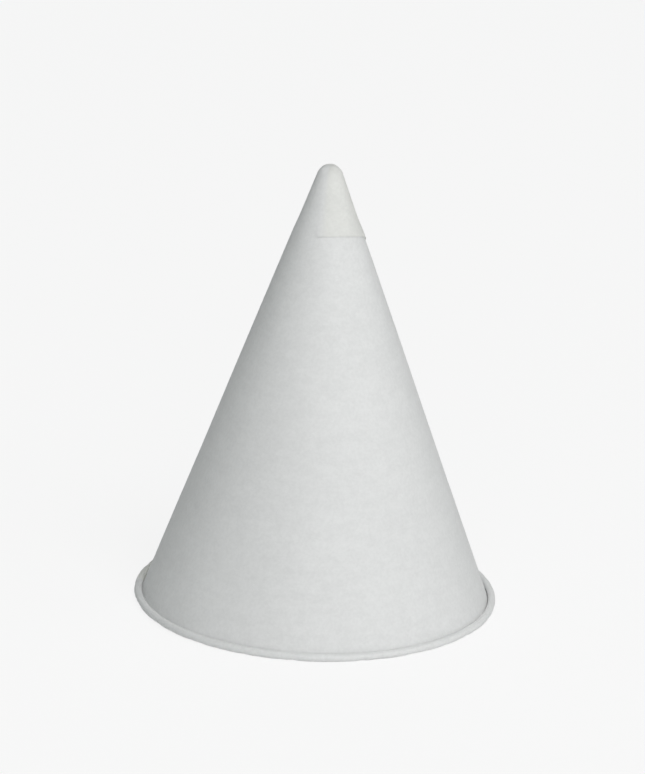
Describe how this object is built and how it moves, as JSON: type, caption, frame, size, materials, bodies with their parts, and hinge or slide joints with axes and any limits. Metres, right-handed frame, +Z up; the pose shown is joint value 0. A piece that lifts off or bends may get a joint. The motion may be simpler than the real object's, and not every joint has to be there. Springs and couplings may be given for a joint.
{
  "type": "cone paper cup",
  "caption": "Cone-shaped paper cup with a thin rolled rim, a glued side lap and a closed, blunt tip, stood on its rim.",
  "frame": {"origin": "on the table under the tip, at the centre of the rim that the cup stands on", "axes": "+Z up along the cone's axis to the tip, -Y to the front, the side lap's inner edge 174.5 degrees from +X, at the back left"},
  "size_m": [0.0722, 0.0721, 0.092],
  "materials": {
    "paper": "matt, uncoated"
  },
  "bodies": {
    "root": {"cone_cup": "paper"}
  },
  "joints": []
}
